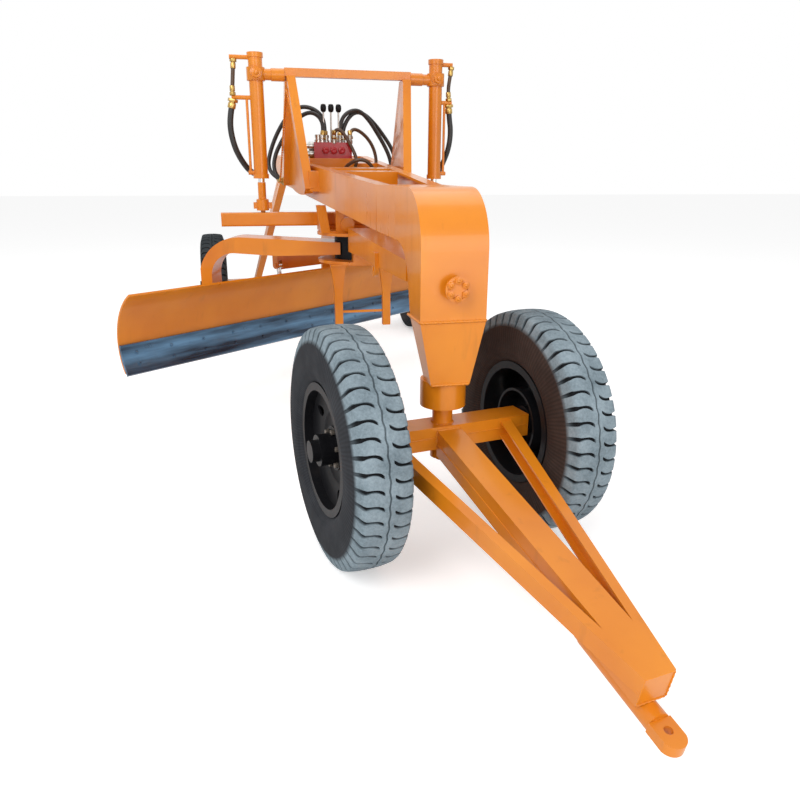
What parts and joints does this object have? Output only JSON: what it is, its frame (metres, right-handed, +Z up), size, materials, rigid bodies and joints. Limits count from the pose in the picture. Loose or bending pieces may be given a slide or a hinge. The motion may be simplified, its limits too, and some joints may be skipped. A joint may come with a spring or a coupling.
{
  "type": "towed road grader",
  "caption": "Tractor-drawn road grader: angled moldboard on a swinging yoke, hydraulic lift cylinders on a gantry, rubber-tyred front and rear axles and a tow bar with a swivel eye.",
  "frame": {"origin": "on the ground under the middle of the machine's bounding box as it stands", "axes": "+Y to the rear, from the tow eye towards the rear axle; +X to the left-hand side, looking forward; +Z up"},
  "size_m": [2.1904, 5.1891, 1.858],
  "materials": {
    "orange_paint": "glossy amber-orange paint",
    "tyre": "dusty black rubber",
    "black_paint": "satin black paint",
    "edge_steel": "glossy blue-black paint on steel",
    "red_paint": "glossy red paint",
    "bright_steel": "bright zinc-plated steel"
  },
  "bodies": {
    "chassis": {"gooseneck": "orange_paint", "kingpin_collar": "orange_paint", "neck_flange": "orange_paint", "side_rails": "orange_paint", "frame_crossings": "orange_paint", "gantry_front_legs": "orange_paint", "gantry_rear_legs": "orange_paint", "gantry_webs": "orange_paint", "gantry_crossbar": "orange_paint", "draft_bracket": "orange_paint", "rear_legs": "orange_paint", "rear_axle": "orange_paint", "valve_stand": "orange_paint", "control_valve": "red_paint", "valve_levers": "bright_steel"},
    "steering": {"front_axle": "orange_paint", "kingpin": "orange_paint", "tow_bar": "orange_paint", "tow_struts": "orange_paint", "swivel_sleeve": "orange_paint"},
    "tow_eye": {"tow_eye": "orange_paint"},
    "wheel_front_right": {"front_right_tyre": "tyre", "front_right_wheel": "black_paint", "front_right_hub": "black_paint"},
    "wheel_front_left": {"front_left_tyre": "tyre", "front_left_wheel": "black_paint", "front_left_hub": "black_paint"},
    "wheel_rear_right": {"rear_right_tyre": "tyre", "rear_right_wheel": "black_paint", "rear_right_hub": "black_paint"},
    "wheel_rear_left": {"rear_left_tyre": "tyre", "rear_left_wheel": "black_paint", "rear_left_hub": "black_paint"},
    "draft_frame": {"draft_beam": "orange_paint", "swing_anchors": "orange_paint", "turntable_housing": "orange_paint", "lift_beam": "orange_paint", "lift_balls": "orange_paint", "beam_braces": "orange_paint", "frame_stands": "orange_paint"},
    "blade_yoke": {"yoke_hub": "black_paint", "yoke_arm_right": "orange_paint", "yoke_arm_left": "orange_paint", "yoke_web": "orange_paint", "arm_feet": "orange_paint", "tilt_bracket": "orange_paint"},
    "blade": {"moldboard": "orange_paint", "cutting_edge": "edge_steel", "blade_brackets": "orange_paint"},
    "tilt_barrel": {"tilt_barrel": "orange_paint"},
    "tilt_rod": {"tilt_rod": "orange_paint"},
    "lift_barrel_right": {"lift_barrel_right": "orange_paint"},
    "lift_barrel_left": {"lift_barrel_left": "orange_paint"},
    "lift_rod_right": {"lift_rod_right": "orange_paint"},
    "lift_rod_left": {"lift_rod_left": "orange_paint"}
  },
  "joints": [
    {"name": "steer", "type": "hinge", "parent": "chassis", "child": "steering", "pos_m": [0.156, -1.428, 0.4025], "axis": [0, 0, 1], "range_deg": [-55, 35]},
    {"name": "tow_eye_swivel", "type": "hinge", "parent": "steering", "child": "tow_eye", "pos_m": [0.34817, -2.51784, 0.08527], "axis": [0.1699, -0.9633, -0.2079], "continuous": true},
    {"name": "front_right_wheel_spin", "type": "hinge", "parent": "steering", "child": "wheel_front_right", "pos_m": [-0.19755, -1.49034, 0.4025], "axis": [0.9848, 0.1736, 0], "continuous": true},
    {"name": "front_left_wheel_spin", "type": "hinge", "parent": "steering", "child": "wheel_front_left", "pos_m": [0.50955, -1.36566, 0.4025], "axis": [0.9848, 0.1736, 0], "continuous": true},
    {"name": "rear_right_wheel_spin", "type": "hinge", "parent": "chassis", "child": "wheel_rear_right", "pos_m": [-0.665, 2.192, 0.4025], "axis": [1, 0, 0], "continuous": true},
    {"name": "rear_left_wheel_spin", "type": "hinge", "parent": "chassis", "child": "wheel_rear_left", "pos_m": [0.977, 2.192, 0.4025], "axis": [1, 0, 0], "continuous": true},
    {"name": "draft_lift", "type": "hinge", "parent": "chassis", "child": "draft_frame", "pos_m": [0.156, -1.223, 0.928], "axis": [1, 0, 0], "range_deg": [-10, 0]},
    {"name": "blade_swing", "type": "hinge", "parent": "draft_frame", "child": "blade_yoke", "pos_m": [0.156, 0.272, 0.93], "axis": [0, 0, 1], "range_deg": [-83, 7]},
    {"name": "blade_tilt", "type": "hinge", "parent": "blade_yoke", "child": "blade", "pos_m": [-0.24182, 0.78119, 0.58], "axis": [0.788, 0.6157, 0], "range_deg": [-8, 8]},
    {"name": "lift_trunnion_right", "type": "hinge", "parent": "chassis", "child": "lift_barrel_right", "pos_m": [-0.335, 0.469, 1.755], "axis": [1, 0, 0], "range_deg": [-1, 1]},
    {"name": "lift_rod_right_slide", "type": "slide", "parent": "lift_barrel_right", "child": "lift_rod_right", "axis": [0, 0, -1], "range_m": [0, 0.3]},
    {"name": "lift_trunnion_left", "type": "hinge", "parent": "chassis", "child": "lift_barrel_left", "pos_m": [0.647, 0.469, 1.755], "axis": [1, 0, 0], "range_deg": [-1, 1]},
    {"name": "lift_rod_left_slide", "type": "slide", "parent": "lift_barrel_left", "child": "lift_rod_left", "axis": [0, 0, -1], "range_m": [0, 0.3]},
    {"name": "tilt_barrel_pivot", "type": "hinge", "parent": "blade", "child": "tilt_barrel", "pos_m": [-0.22098, 0.68305, 0.4], "axis": [0.788, 0.6157, 0], "range_deg": [-12, 12]},
    {"name": "tilt_rod_slide", "type": "slide", "parent": "tilt_barrel", "child": "tilt_rod", "axis": [-0.0922, 0.118, 0.9887], "range_m": [-0.015, 0.015]}
  ],
  "couplings": [
    {"joint": "lift_trunnion_right", "follows": "draft_lift", "ratio": -0.0455},
    {"joint": "lift_rod_right_slide", "follows": "draft_lift", "m_per_rad": -1.6972},
    {"joint": "lift_trunnion_left", "follows": "draft_lift", "ratio": -0.0455},
    {"joint": "lift_rod_left_slide", "follows": "draft_lift", "m_per_rad": -1.6972},
    {"joint": "tilt_barrel_pivot", "follows": "blade_tilt", "ratio": -0.4277},
    {"joint": "tilt_rod_slide", "follows": "blade_tilt", "m_per_rad": 0.06219}
  ]
}
